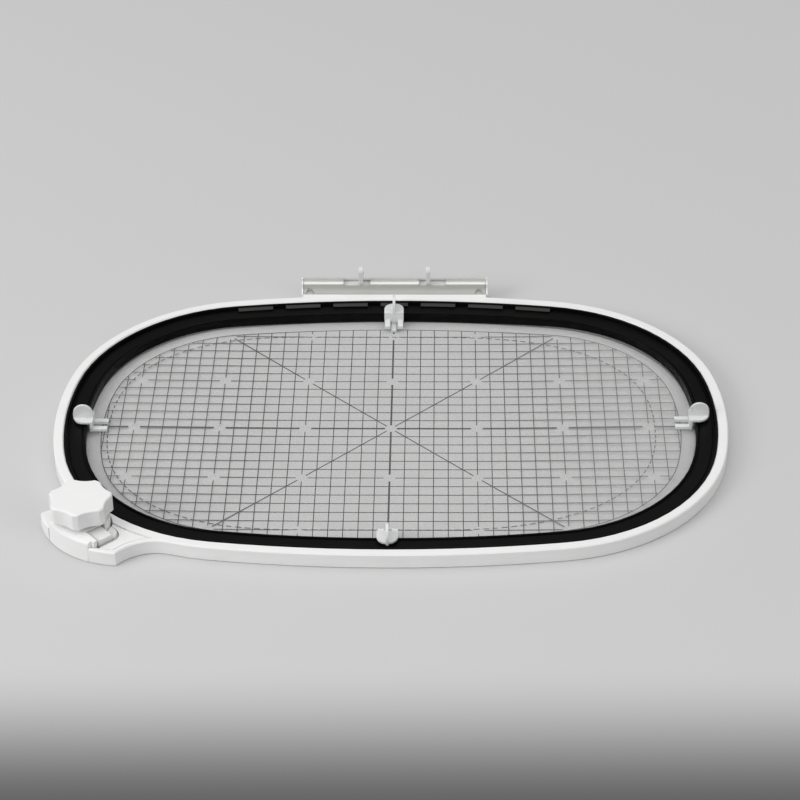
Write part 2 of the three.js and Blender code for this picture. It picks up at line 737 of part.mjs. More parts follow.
// Cover: a dome turned about the centre of the housing's outer arc, cut to the left half
function lockCover() {
  const shoulder = new THREE.QuadraticBezierCurve(
    new THREE.Vector2(HOUSING_RADIUS - COVER_LEAN, COVER_SHOULDER_HEIGHT),
    new THREE.Vector2(HOUSING_RADIUS - 2 * COVER_LEAN, coverTop),
    new THREE.Vector2(HOUSING_RADIUS - COVER_CROWN_INSET, coverTop),
  );
  const crown = shoulder.getPoints(ARC_STEPS).map(({ x, y }) => [x, y]);
  const dome = turned(
    [[0, 0], [HOUSING_RADIUS, 0], ...crown, [0, coverTop]],
    housingCentre.x,
    housingCentre.y,
    4 * ROUND_SIDES,
  );
  const boss = lockRod(BOSS_RADIUS, coverSeat, FAR);
  const inside = rod(housingCentre.x, housingCentre.y, skirtIn, -FAR, coverSeat, 2 * ROUND_SIDES);
  const skirt = lockBlock(-SKIRT_START, SKIRT_END, -FAR, channelLeft, SKIRT_LIFT, FAR)
    .subtract(lockRod(baseRadius + SEAT_GAP, -FAR, coverSeat).intersect(inside));
  const tip = lockBlock(0, FINGER_LENGTH, channelLeft - FINGER_TIP_WIDTH, channelLeft, coverSeat, FAR);
  const pilots = coverScrewSpots().map(({ x, y }) => (
    rod(x, y, COVER_SCREW_RADIUS + SHAFT_GAP, 0, coverSeat + COVER_SCREW_BITE + SEAT_GAP)
  ));
  return dome.intersect(joined([boss, skirt, tip])).subtract(joined([
    lockBlock(0, FAR, channelLeft, channelRight, 0, linkTop + SLIDE_GAP),
    lockBlock(ROOF_REACH, FAR, channelLeft, channelRight, 0, FAR),
    lockRod(SPINDLE_RADIUS + SLIDE_GAP, -FAR, FAR, HOLE_SIDES),
    ...pilots,
  ]));
}

// Knob: lobes of the full radius joined by hollow arcs that reach in to the valley radius
function lockKnob() {
  const pitch = 360 / KNOB_LOBES;
  const hollowHalf = rad(pitch / 2 - LOBE_HALF_ANGLE);
  const halfChord = KNOB_RADIUS * Math.sin(hollowHalf);
  const sag = KNOB_RADIUS * Math.cos(hollowHalf) - KNOB_VALLEY;
  const hollowRadius = (halfChord ** 2 + sag ** 2) / (2 * sag);
  const shape = new THREE.Shape();
  for (let i = 0; i < KNOB_LOBES; i += 1) {
    const lobe = KNOB_PHASE + i * pitch;
    const lobeEnd = toward(lobe + LOBE_HALF_ANGLE).multiplyScalar(KNOB_RADIUS);
    const nextStart = toward(lobe + pitch - LOBE_HALF_ANGLE).multiplyScalar(KNOB_RADIUS);
    const hollowCentre = toward(lobe + pitch / 2).multiplyScalar(KNOB_VALLEY + hollowRadius);
    shape.absarc(0, 0, KNOB_RADIUS, rad(lobe - LOBE_HALF_ANGLE), rad(lobe + LOBE_HALF_ANGLE), false);
    arcTo(shape, hollowCentre, hollowRadius, lobeEnd, nextStart, true);
  }
  const geometry = new THREE.ExtrudeGeometry(shape, {
    depth: KNOB_HEIGHT - 2 * KNOB_EDGE,
    bevelThickness: KNOB_EDGE,
    bevelSize: KNOB_EDGE,
    bevelOffset: -KNOB_EDGE,
    bevelSegments: 2,
    curveSegments: 3,
  });
  const body = solidOf(geometry.translate(knobSpot.x, knobSpot.y, knobBottom + KNOB_EDGE));
  const hub = lockRod(KNOB_HUB_RADIUS, coverTop + SLIDE_GAP, knobBottom + KNOB_EDGE);
  return body.add(hub).subtract(lockRod(SPINDLE_RADIUS + SHAFT_GAP, 0, knobTop - KNOB_SOCKET_ROOF, HOLE_SIDES));
}

const spindleBottom = SPINDLE_RECESS_DEPTH - SHAFT_GAP;
const spindleTop = knobTop - KNOB_SOCKET_ROOF - SEAT_GAP;
const washerBottom = spindleBottom - SHAFT_GAP - WASHER_THICKNESS;

function lockSpindle() {
  const bore = SPINDLE_SCREW_RADIUS + SHAFT_GAP;
  const boreTop = spindleBottom + SPINDLE_SCREW_LENGTH + SEAT_GAP;
  return turned([
    [0, boreTop],
    [bore, boreTop],
    [bore, spindleBottom],
    [SPINDLE_RADIUS, spindleBottom],
    [SPINDLE_RADIUS, spindleTop],
    [0, spindleTop],
  ], knobSpot.x, knobSpot.y);
}

function spindleWasher() {
  const hole = SPINDLE_SCREW_RADIUS + SHAFT_GAP;
  return lockRod(WASHER_RADIUS, washerBottom, washerBottom + WASHER_THICKNESS, HOLE_SIDES)
    .subtract(lockRod(hole, -FAR, FAR, HOLE_SIDES));
}

// Screw put in from below, head down
function screwFromBelow(x, y, headRadius, headBottom, headTop, radius, tip) {
  return turned([
    [0, headBottom],
    [headRadius, headBottom],
    [headRadius, headTop],
    [radius, headTop],
    [radius, tip],
    [0, tip],
  ], x, y);
}

function spindleScrew() {
  const headTop = washerBottom - SHAFT_GAP / 2;
  return screwFromBelow(
    knobSpot.x,
    knobSpot.y,
    SPINDLE_SCREW_HEAD_RADIUS,
    headTop - SPINDLE_SCREW_HEAD_HEIGHT,
    headTop,
    SPINDLE_SCREW_RADIUS,
    spindleBottom + SPINDLE_SCREW_LENGTH,
  );
}

function coverScrew({ x, y }) {
  return screwFromBelow(
    x,
    y,
    COVER_SCREW_HEAD_RADIUS,
    SEAT_GAP,
    SEAT_GAP + COVER_SCREW_HEAD_HEIGHT,
    COVER_SCREW_RADIUS,
    coverSeat + COVER_SCREW_BITE,
  );
}

// Scroll cam: a disc with a spiral groove that moves the pin outward as the knob opens
function scrollCam() {
  const half = PIN_RADIUS + SLIDE_GAP;
  const sweep = rad(CAM_TURN);
  const spiral = (part, aside) => {
    const reach = PIN_START + LINK_TRAVEL * part + aside;
    return new THREE.Vector2(Math.cos(-sweep * part), Math.sin(-sweep * part)).multiplyScalar(reach);
  };
  const parts = Array.from({ length: CAM_STEPS + 1 }, (_, k) => k / CAM_STEPS);
  const groove = new THREE.Shape([
    ...parts.map((part) => spiral(part, half)),
    ...parts.map((part) => spiral(1 - part, -half)),
  ]);
  const floor = camBottom + CAM_WEB;
  const cut = lockPlaced(extruded(groove, FAR, 1).translate(0, 0, floor));
  const ends = [0, 1].map((part) => {
    const spot = lockSpot(spiral(part, 0).x, spiral(part, 0).y);
    return rod(spot.x, spot.y, half, floor, FAR);
  });
  return lockRod(CAM_RADIUS, camBottom, camTop)
    .subtract(joined([cut, ...ends, lockRod(SPINDLE_RADIUS + SHAFT_GAP, -FAR, FAR, HOLE_SIDES)]));
}

// Link: a bar with rounded upper edges on a wide foot, and a peg that holds the right plate
const linkStart = SPINDLE_RADIUS + SLIDE_GAP + SEAT_GAP;

function footShape() {
  const shape = new THREE.Shape();
  shape.moveTo(FOOT_START, SLIDE_GAP - LINK_LEFT);
  shape.lineTo(FOOT_CENTRE + FOOT_RADIUS, SLIDE_GAP - LINK_LEFT);
  shape.absarc(FOOT_CENTRE, FOOT_SIDE, FOOT_RADIUS, 0, Math.PI / 2, false);
  shape.lineTo(FOOT_CENTRE - FOOT_TAIL, FOOT_SIDE + FOOT_RADIUS);
  shape.lineTo(FOOT_START, FOOT_SIDE);
  return shape;
}

function lockLink() {
  const section = new THREE.Shape();
  section.moveTo(-LINK_LEFT, linkBottom);
  section.lineTo(LINK_RIGHT, linkBottom);
  section.absarc(LINK_RIGHT - LINK_EDGE, linkTop - LINK_EDGE, LINK_EDGE, 0, Math.PI / 2, false);
  section.absarc(LINK_EDGE - LINK_LEFT, linkTop - LINK_EDGE, LINK_EDGE, Math.PI / 2, Math.PI, false);
  const turn = new THREE.Matrix4().makeBasis(
    new THREE.Vector3(0, 1, 0),
    new THREE.Vector3(0, 0, 1),
    new THREE.Vector3(1, 0, 0),
  );
  const lying = extruded(section, LINK_END - linkStart, LINK_EDGE_STEPS).applyMatrix4(turn);
  const bar = lockPlaced(lying.translate(linkStart, 0, 0));
  const foot = lockPrism(footShape(), pocketFloor + SLIDE_GAP, RING_HEIGHT);
  const peg = lockBlock(pegIn, pegOut, pegLeft, pegRight, pegBottom, linkBottom + LINK_EDGE);
  const pin = lockSpot(PIN_START, 0);
  return joined([bar, foot, peg])
    .subtract(rod(pin.x, pin.y, PIN_RADIUS + SHAFT_GAP, 0, linkBottom + PIN_SOCKET_DEPTH));
}

function linkPin() {
  const pin = lockSpot(PIN_START, 0);
  return rod(pin.x, pin.y, PIN_RADIUS, pinBottom, linkBottom + PIN_SOCKET_DEPTH - SHAFT_GAP);
}

// Coupling rail, drawn in section from its front face backward
const railBack = railFront + RAIL_DEPTH;
const ledgeFront = railFront + RAIL_SHELF + COVE_RADIUS;
const lipFront = ledgeFront + LEDGE_DEPTH;
const lipBack = lipFront + LIP_DEPTH;
const lipTop = LEDGE_HEIGHT + LIP_RISE;
const wayBack = railBack - RAIL_WALL;
const wayFront = wayBack - CATCH_WAY_WIDTH;

function railOutline() {
  const shape = new THREE.Shape();
  shape.moveTo(railFront, 0);
  shape.lineTo(railBack, 0);
  shape.lineTo(railBack, BACK_EDGE_HEIGHT);
  shape.lineTo(lipBack, lipTop);
  shape.lineTo(lipFront, lipTop);
  shape.lineTo(lipFront, LEDGE_HEIGHT);
  shape.lineTo(ledgeFront, LEDGE_HEIGHT);
  shape.absarc(railFront + RAIL_SHELF, RING_HEIGHT + COVE_RADIUS, COVE_RADIUS, 0, -Math.PI / 2, true);
  shape.lineTo(railFront, RING_HEIGHT);
  return shape;
}

function couplingRail() {
  const lower = block(-FAR, FAR, railFront + RAIL_WALL, wayBack, -FAR, RAIL_FRONT_ROOF);
  const upper = block(-FAR, FAR, wayFront, wayBack, 0, CATCH_WAY_ROOF);
  const stopHalf = SPRING_STOP_THICKNESS / 2;
  const stop = block(
    -stopHalf,
    stopHalf,
    wayFront - SEAT_GAP,
    wayBack + SEAT_GAP,
    SPRING_STOP_BOTTOM,
    CATCH_WAY_ROOF + SEAT_GAP,
  );
  const lugIn = LUG_SPOT - LUG_WIDTH / 2 - SEAT_GAP;
  const slideEnd = SLIDE_START + SLIDE_LENGTH + SEAT_GAP;
  const catchStops = [-1, 1].map((side) => block(
    side * slideEnd,
    side * (slideEnd + CATCH_STOP_THICKNESS),
    wayFront - SEAT_GAP,
    wayBack + SEAT_GAP,
    CATCH_STOP_BOTTOM,
    CATCH_WAY_ROOF + SEAT_GAP,
  ));
  const cuts = [-1, 1].flatMap((side) => [
    block(side * NOTCH_START, side * NOTCH_END, ledgeFront, wayBack, CATCH_WAY_ROOF - SEAT_GAP, FAR),
    block(side * NOTCH_START, side * NOTCH_END, ledgeFront, railBack + SEAT_GAP, BACK_EDGE_HEIGHT, FAR),
    block(side * lugIn, side * FAR, 0, railFront + RAIL_WALL + SEAT_GAP, -FAR, RAIL_FRONT_ROOF),
    rod(side * LUG_SPOT, railScrewY, RAIL_SCREW_RADIUS + SEAT_GAP, 0, FAR),
    rod(side * LUG_SPOT, railScrewY, RAIL_SCREW_HEAD_RADIUS + SEAT_GAP, RAIL_SCREW_SEAT - SHAFT_GAP, FAR),
  ]);
  return alongX(railOutline(), -RAIL_HALF_LENGTH, RAIL_HALF_LENGTH)
    .subtract(joined([lower, upper]))
    .add(joined([stop, ...catchStops]))
    .subtract(joined(cuts));
}

// End cap: a plate of the rail's outline with a plug for the catch way
function railCap(side) {
  const face = RAIL_HALF_LENGTH + SHAFT_GAP;
  const plug = block(
    side * (face - CAP_PLUG_LENGTH),
    side * (face + CAP_THICKNESS / 2),
    wayFront + SEAT_GAP,
    wayBack - SEAT_GAP,
    CAP_PLUG_BOTTOM,
    CATCH_WAY_ROOF - SEAT_GAP,
  );
  return alongX(railOutline(), side * face, side * (face + CAP_THICKNESS)).add(plug);
}

function railScrew(side) {
  return turned([
    [0, RAIL_SCREW_TIP],
    [RAIL_SCREW_RADIUS, RAIL_SCREW_TIP],
    [RAIL_SCREW_RADIUS, RAIL_SCREW_SEAT],
    [RAIL_SCREW_HEAD_RADIUS, RAIL_SCREW_SEAT],
    [RAIL_SCREW_HEAD_RADIUS, RAIL_SCREW_SEAT + RAIL_SCREW_HEAD_HEIGHT],
    [0, RAIL_SCREW_SEAT + RAIL_SCREW_HEAD_HEIGHT],
  ], side * LUG_SPOT, railScrewY);
}

// Catch: a slide in the rail with an upright finger tab, a spring seat and a hook that points outward
const slideFront = wayFront + SEAT_GAP;
const slideBack = wayBack - SEAT_GAP;
const slideTop = CATCH_WAY_ROOF - SEAT_GAP;
const slideBottom = slideTop - SLIDE_THICKNESS;

function railCatch(side) {
  const tabFoot = LEDGE_HEIGHT + RING_GAP;
  const tabFront = slideFront - TAB_OVERHANG;
  const tabRadius = (slideBack - tabFront) / 2;
  const tab = new THREE.Shape();
  tab.moveTo(slideFront, slideBottom);
  tab.lineTo(slideBack, slideBottom);
  tab.absarc(tabFront + tabRadius, slideTop + TAB_RISE - tabRadius, tabRadius, 0, Math.PI, false);
  tab.lineTo(tabFront, tabFoot);
  tab.lineTo(slideFront, tabFoot);

  const hookOut = HOOK_START + HOOK_WIDTH;
  const hook = new THREE.Shape();
  hook.moveTo(side * HOOK_START, slideBottom + SEAT_GAP);
  hook.lineTo(side * HOOK_START, HOOK_BOTTOM);
  hook.lineTo(side * hookOut, HOOK_BOTTOM);
  hook.lineTo(side * (hookOut + HOOK_NOSE), HOOK_BOTTOM + HOOK_NOSE);
  hook.lineTo(side * hookOut, HOOK_BOTTOM + HOOK_NOSE);
  hook.lineTo(side * hookOut, slideBottom + SEAT_GAP);

  const slideEnd = SLIDE_START + SLIDE_LENGTH;
  return joined([
    block(side * SLIDE_START, side * slideEnd, slideFront, slideBack, slideBottom, slideTop),
    alongX(tab, side * (TAB_SPOT - TAB_THICKNESS / 2), side * (TAB_SPOT + TAB_THICKNESS / 2)),
    block(
      side * SLIDE_START,
      side * (SLIDE_START + SPRING_SEAT_THICKNESS),
      slideFront,
      slideBack,
      SPRING_SEAT_BOTTOM,
      slideTop,
    ),
    acrossY(hook, slideFront, slideBack),
  ]);
}

// Coil spring between the rail's stop and the catch's seat
function catchSpring(side) {
  const start = SPRING_STOP_THICKNESS / 2 + SEAT_GAP + SPRING_WIRE;
  const end = SLIDE_START - SEAT_GAP - SPRING_WIRE;
  const centreY = (wayFront + wayBack) / 2;
  const count = SPRING_TURNS * STEPS_PER_TURN;
  const middles = [];
  const positions = [];
  const faces = [];
  for (let i = 0; i <= count; i += 1) {
    const angle = (2 * Math.PI * i) / STEPS_PER_TURN;
    const out = new THREE.Vector3(0, Math.cos(angle), Math.sin(angle));
    const middle = new THREE.Vector3(side * (start + ((end - start) * i) / count), centreY, SPRING_HEIGHT)
      .addScaledVector(out, SPRING_RADIUS);
    const rise = (side * (end - start)) / (SPRING_TURNS * 2 * Math.PI);
    const ahead = new THREE.Vector3(rise, -SPRING_RADIUS * Math.sin(angle), SPRING_RADIUS * Math.cos(angle))
      .normalize();
    const across = new THREE.Vector3().crossVectors(ahead, out);
    middles.push(middle);
    for (let j = 0; j < WIRE_SIDES; j += 1) {
      const around = (2 * Math.PI * j) / WIRE_SIDES;
      const corner = middle.clone()
        .addScaledVector(out, SPRING_WIRE * Math.cos(around))
        .addScaledVector(across, SPRING_WIRE * Math.sin(around));
      positions.push(corner.x, corner.y, corner.z);
      if (i < count) {
        const here = i * WIRE_SIDES;
        const next = here + WIRE_SIDES;
        const k = (j + 1) % WIRE_SIDES;
        faces.push(here + j, here + k, next + k, here + j, next + k, next + j);
      }
    }
  }
  const last = count * WIRE_SIDES;
  for (let j = 1; j < WIRE_SIDES - 1; j += 1) {
    faces.push(0, j + 1, j, last, last + j, last + j + 1);
  }
  printLeastGap(middles);
  return solidOf(geometryFrom(positions, faces));
}

// Least gap between neighbouring turns of the wire
function printLeastGap(middles) {
  let least = Infinity;
  for (let i = 0; i < middles.length; i += 1) {
    for (let j = i + STEPS_PER_TURN / 2; j < middles.length; j += 1) {
      least = Math.min(least, middles[i].distanceTo(middles[j]) - 2 * SPRING_WIRE);
    }
  }
  console.log(`catch spring: least gap between turns ${least.toFixed(2)} mm`);
}

// Materials
const whitePlastic = { color: 0xeeeeec, roughness: 0.45, metalness: 0 };
const blackPlastic = { color: 0x161616, roughness: 0.35, metalness: 0 };
const clearPlastic = { color: 0xd9dcdc, roughness: 0.2, metalness: 0, transparent: true, opacity: 0.7 };
const templateSheet = { color: 0xc4c6c2, roughness: 0.15, metalness: 0, transparent: true, opacity: 0.6 };
const greyMetal = { color: 0xb4b6b2, roughness: 0.45, metalness: 0.8 };
const steel = { color: 0xa9abad, roughness: 0.3, metalness: 1 };

function piece(name, solid, look) {
  const mesh = new THREE.Mesh(geometryOf(solid), new THREE.MeshStandardMaterial(look));
  mesh.name = name;
  return mesh;
}

const hoop = new THREE.Group();
hoop.name = 'embroidery_hoop';

const outerAssembly = new THREE.Group();
outerAssembly.name = 'outer_assembly';
outerAssembly.add(
  piece('outer_ring', outerRing(), whitePlastic),
  piece('lock_cover', lockCover(), whitePlastic),
  piece('coupling_rail', couplingRail(), greyMetal),
);
coverScrewSpots().forEach((spot, i) => {
  outerAssembly.add(piece(`cover_screw_${i + 1}`, coverScrew(spot), steel));
});

const knobAssembly = new THREE.Group();
knobAssembly.name = 'knob_assembly';
knobAssembly.add(
  piece('lock_knob', lockKnob(), whitePlastic),
  piece('lock_spindle', lockSpindle(), steel),
  piece('scroll_cam', scrollCam(), blackPlastic),
  piece('spindle_washer', spindleWasher(), steel),
  piece('spindle_screw', spindleScrew(), steel),
);

const linkAssembly = new THREE.Group();
linkAssembly.name = 'link_assembly';
linkAssembly.add(
  piece('lock_link', lockLink(), whitePlastic),
  piece('link_pin', linkPin(), steel),
);

[['left', -1], ['right', 1]].forEach(([word, side]) => {
  outerAssembly.add(
    piece(`rail_cap_${word}`, railCap(side), whitePlastic),
    piece(`rail_screw_${word}`, railScrew(side), steel),
    piece(`catch_${word}`, railCatch(side), clearPlastic),
    piece(`catch_spring_${word}`, catchSpring(side), steel),
  );
});

const innerAssembly = new THREE.Group();
innerAssembly.name = 'inner_assembly';
innerAssembly.add(piece('inner_ring', innerRing(), blackPlastic));

const templateAssembly = new THREE.Group();
templateAssembly.name = 'template_assembly';
templateAssembly.add(piece('template', template(), templateSheet));
clipPlaces.forEach(([name, x, y, bearing]) => {
  const mesh = piece(name, clip(), clearPlastic);
  mesh.position.set(x, y, 0);
  mesh.rotation.z = rad(bearing);
  templateAssembly.add(mesh);
});

hoop.add(outerAssembly, knobAssembly, linkAssembly, innerAssembly, templateAssembly);

// Origin under the middle of the whole hoop
hoop.updateMatrixWorld(true);
const extent = new THREE.Box3().setFromObject(hoop);
hoop.position.set(-(extent.min.x + extent.max.x) / 2, -(extent.min.y + extent.max.y) / 2, -extent.min.z);
hoop.updateMatrixWorld(true);

export default hoop;
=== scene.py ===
"""Looks of an oval machine embroidery hoop: white split outer ring with its twist lock and arm
coupling, black inner ring, and a clear template with a printed grid. Metres, +Z up."""

import math

import bmesh
import bpy
from mathutils import Matrix, Vector


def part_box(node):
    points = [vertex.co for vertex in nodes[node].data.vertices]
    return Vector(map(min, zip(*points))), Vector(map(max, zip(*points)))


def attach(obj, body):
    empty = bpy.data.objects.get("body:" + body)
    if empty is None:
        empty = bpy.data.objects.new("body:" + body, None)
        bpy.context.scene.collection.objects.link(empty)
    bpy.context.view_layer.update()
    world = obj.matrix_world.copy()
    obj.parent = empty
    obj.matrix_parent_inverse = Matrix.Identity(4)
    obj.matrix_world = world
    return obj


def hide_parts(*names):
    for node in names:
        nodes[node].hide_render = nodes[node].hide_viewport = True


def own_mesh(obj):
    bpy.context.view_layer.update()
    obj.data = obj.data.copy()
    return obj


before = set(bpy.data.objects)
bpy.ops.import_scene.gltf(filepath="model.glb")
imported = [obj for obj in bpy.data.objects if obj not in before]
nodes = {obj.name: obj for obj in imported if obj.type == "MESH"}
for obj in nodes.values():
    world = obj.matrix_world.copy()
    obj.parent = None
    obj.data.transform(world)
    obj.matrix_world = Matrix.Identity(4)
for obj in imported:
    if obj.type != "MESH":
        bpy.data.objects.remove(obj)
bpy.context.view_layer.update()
MM = 0.001

# Camera, as the photograph was taken: angles in degrees, lens and sensor in millimetres
CAMERA_SPOT = Vector((0.0231, -1.00375, 0.67725))
CAMERA_ELEVATION = 33.54
CAMERA_AZIMUTH = -1.09
CAMERA_ROLL = -0.52
CAMERA_LENS = 122.18
SENSOR_WIDTH = 36.0
CAMERA_NEAR = 0.05
CAMERA_FAR = 30.0

# Oval of the hoop: radii of its end, corner and side arcs along the template's edge
TEMPLATE_END_RADIUS = 145.8 * MM
TEMPLATE_CORNER_RADIUS = 69.8 * MM
TEMPLATE_SIDE_RADIUS = 527.8 * MM

# Template sheet: it lies on its middle, lifts towards its ends and has flared marking holes
SHEET_FLOOR_GAP = 0.03 * MM
SHEET_THICKNESS = 1.0 * MM
SHEET_LEFT_RISE = 0.95 * MM
SHEET_RIGHT_RISE = 1.4 * MM
SHEET_FLAT_SHARE = 0.2
MARK_HOLE_RADIUS = 0.6 * MM
MARK_HOLE_TOP_RADIUS = 1.0 * MM
MARK_HOLE_SIDES = 16

# Grid on the sheet's underside: lines stop short of the marks at every sixth row and column
CELL = 6.35 * MM
LAST_COLUMN = 20
LAST_ROW = 12
MARK_STEP = 6
MARKS_EACH_WAY = LAST_COLUMN // MARK_STEP
MARK_GAP = 2.6 * MM
COLUMN_WIDTH = 0.38 * MM
ROW_WIDTH = 0.53 * MM
CENTRE_COLUMN_WIDTH = 0.81 * MM
CENTRE_ROW_WIDTH = 1.15 * MM
DIAGONAL_WIDTH = 0.55 * MM

# Outlines printed round the grid: a solid one, and a dashed one in two halves
OUTLINE_INSET = 5.8 * MM
OUTLINE_WIDTH = 0.45 * MM
OUTLINE_STEPS = 160
DASH_WIDTH = 0.5 * MM
DASH_LENGTH = 2.6 * MM
DASH_GAP = 1.4 * MM
DASH_HALF_HEIGHT = 76.0 * MM
DASH_LEFT_CENTRE = -40.0 * MM
DASH_LEFT_REACH = 85.5 * MM
DASH_RIGHT_CENTRE = 20.0 * MM
DASH_RIGHT_REACH = 97.0 * MM
DASH_POWER = 2.4
DASH_STEPS = 90

# Strips of the print: how far they stand below the sheet, reach into it and run before a bend
PRINT_DEPTH = 0.008 * MM
PRINT_SINK = 0.004 * MM
PRINT_STEP = 8.0 * MM

# Limits of the working: welding, flatness, least length and halvings of a search
WELD_REACH = 0.001 * MM
FLAT_ANGLE = math.radians(0.6)
LEAST_LENGTH = 1e-9
HALVINGS = 40

# Softened edges: widths, steps and least angle, and how much large faces count in the shading
RING_EDGE = 0.05 * MM
COVER_EDGE = 0.15 * MM
CAP_EDGE = 0.25 * MM
LINK_EDGE = 0.25 * MM
KNOB_EDGE = 0.4 * MM
INNER_EDGE = 0.2 * MM
CAM_EDGE = 0.15 * MM
RAIL_EDGE = 0.15 * MM
CLIP_EDGE = 0.2 * MM
CATCH_EDGE = 0.2 * MM
SMALL_EDGE = 0.08 * MM
EDGE_SEGMENTS = 2
KNOB_SEGMENTS = 3
EDGE_ANGLE = math.radians(32)
NORMAL_WEIGHT = 80

# Noise: middle of its range, roughness and detail
NOISE_LOW = 0.3
NOISE_HIGH = 0.7
NOISE_ROUGHNESS = 0.55
NOISE_DETAIL = 3.0

# Sockets of the node that mixes colours: share, both colours, and the mixed colour
MIX_SHARE = 0
MIX_FIRST = 6
MIX_SECOND = 7
MIX_COLOUR = 2

# Moulded plastic: colours from dark to light, roughness from low to high, gloss, and its grain
WHITE_COLOURS = ((0.87, 0.87, 0.865), (0.9, 0.9, 0.895))
WHITE_ROUGH = (0.38, 0.48)
WHITE_GLOSS = 0.35
BLACK_SHADES = (0.003, 0.005)
BLACK_ROUGH = (0.28, 0.4)
BLACK_GLOSS = 0.07
DARK_SHADES = (0.04, 0.06)
DARK_ROUGH = (0.4, 0.5)
DARK_GLOSS = 0.4
CLOUD_SIZE = 18.0 * MM
GLOSS_SIZE = 3.0 * MM
GRAIN_SIZE = 0.35 * MM
GRAIN_DETAIL = 4.0
GRAIN_BUMP = 0.35
GRAIN_DEPTH = 0.02 * MM

# Pads of the inner ring: a painted highlight on their tops
PAD_TOP = 6.0 * MM
PAD_FADE = 0.3 * MM
PAD_PAINTED_HIGHLIGHT = (0.05, 0.05, 0.047, 1.0)

# Milky plastic of the clips and the catches
MILKY_COLOURS = ((0.87, 0.88, 0.88), (0.9, 0.91, 0.91))
MILKY_ROUGH = (0.22, 0.28)
MILKY_CLOUD = 4.0 * MM
MILKY_IOR = 1.49
CLIP_SEE_THROUGH = 0.14
CATCH_SEE_THROUGH = 0.2

# Clear sheet, the frosted walls of its holes, and the ink
SHEET_COLOURS = ((0.66, 0.665, 0.655), (0.72, 0.725, 0.715))
SHEET_ROUGH = (0.24, 0.32)
SHEET_CLOUD = 40.0 * MM
SHEET_GLOSS_SIZE = 9.0 * MM
SHEET_GLOSS = 0.3
SHEET_ALPHA = 0.15
FROST_SHADES = (0.9, 0.95)
FROST_ROUGH = (0.5, 0.65)
FROST_CLOUD = 0.4 * MM
FROST_GRAIN = 0.2 * MM
INK_SHADES = (0.015, 0.13)
INK_FADE = (0.02, 0.11)
INK_ROUGH = (0.5, 0.7)
INK_GRAIN = 1.5 * MM

# Drawn metal: fine lines along one axis
LINE_SIZE = 0.3 * MM
LINE_STRETCH = 0.02
LINE_DETAIL = 5.0
LINE_BUMP = 0.2
LINE_DEPTH = 0.01 * MM
STEEL_COLOURS = ((0.5, 0.51, 0.52), (0.6, 0.61, 0.62))
STEEL_ROUGH = (0.28, 0.4)
STEEL_METALLIC = 1.0

# Rail: grey by height, which is painted shade darkest low in its cove, with a painted highlight on
# its ledge
RAIL_SHADE_HEIGHTS = (6.9 * MM, 7.6 * MM, 9.4 * MM, 11.6 * MM)
RAIL_GREY_AND_PAINTED_SHADE = (0.5, 0.45, 0.55, 0.62)
RAIL_CAST = (1.0, 1.01, 0.96)
RAIL_LINES = 0.05
RAIL_LINE_SHADES = (0.0, 1.0)
RAIL_ROUGH = (0.42, 0.55)
RAIL_METALLIC = 0.2
LEDGE_Z = 10.35 * MM
LEDGE_FADE = 0.4 * MM
LEDGE_PAINTED_HIGHLIGHT = (0.96, 0.96, 0.94, 1.0)
# How far a face must look upward to take the painted highlights of the ledge and the pads
FACING_UP = (0.6, 0.9)

# Floor: pale, with painted shade darkening it towards its front
FLOOR_HALF = 6.0
FLOOR_SHADE_AND_PALE = (0.115, 0.62)
FLOOR_SHADE_FADE = (-0.257, -0.17)
FLOOR_ROUGH = 0.75
FLOOR_GLOSS = 0.2

# Light: a pale sky that is brightest overhead, and soft lamps as (spot, size, power)
SKY_LOW = 0.1
SKY_HIGH = 1.16
SKY_START = 0.5
SKY_END = 0.8
LAMPS = {
    "key": ((-1.55, -1.05, 1.05), 1.0, 14.5),
    "left": ((-1.7, -0.3, 0.85), 1.0, 5.0),
    "right": ((1.5, -1.3, 1.1), 1.2, 6.0),
}


# Shader helpers
def greys(shades):
    """Neutral colours of these shades."""
    return [(shade, shade, shade) for shade in shades]


def shader(name):
    """New material, with its node tree and its surface."""
    made = bpy.data.materials.new(name)
    made.use_nodes = True
    tree = made.node_tree
    return made, tree, tree.nodes["Principled BSDF"]


def fill(tree, socket, value):
    """Links a socket to another one, or sets its value."""
    if isinstance(value, bpy.types.NodeSocket):
        tree.links.new(value, socket)
    else:
        socket.default_value = value


def node(tree, kind, settings=(), **inputs):
    """New node with its settings, and with inputs given as values or as sockets."""
    made = tree.nodes.new(kind)
    for key, value in dict(settings).items():
        setattr(made, key, value)
    for key, value in inputs.items():
        fill(tree, made.inputs[key.replace("_", " ")], value)
    return made


def paint(tree, surface, colour, rough):
    """Gives a surface its colour and its roughness."""
    fill(tree, surface.inputs["Base Color"], colour)
    fill(tree, surface.inputs["Roughness"], rough)


def raised(tree, surface, height, strength, depth):
    """Gives a surface fine relief from a grey height."""
    bump = node(tree, "ShaderNodeBump", Strength=strength, Distance=depth, Height=height)
    fill(tree, surface.inputs["Normal"], bump.outputs["Normal"])


def object_place(tree, axis):
    """Distance along one axis of the hoop."""
    place = node(tree, "ShaderNodeTexCoord").outputs["Object"]
    return node(tree, "ShaderNodeSeparateXYZ", Vector=place).outputs[axis]


def noise(tree, size, detail=NOISE_DETAIL, stretch=(1.0, 1.0, 1.0)):
    """Grey noise with features of about that size in metres."""
    place = node(tree, "ShaderNodeTexCoord").outputs["Object"]
    scaled = node(tree, "ShaderNodeMapping", Vector=place, Scale=[s / size for s in stretch])
    return node(
        tree,
        "ShaderNodeTexNoise",
        Vector=scaled.outputs["Vector"],
        Scale=1.0,
        Detail=detail,
        Roughness=NOISE_ROUGHNESS,
    ).outputs["Fac"]


def spread(tree, value, low, high):
    """Maps the middle of a noise to the range from low to high."""
    return node(
        tree,
        "ShaderNodeMapRange",
        Value=value,
        From_Min=NOISE_LOW,
        From_Max=NOISE_HIGH,
        To_Min=low,
        To_Max=high,
    ).outputs["Result"]


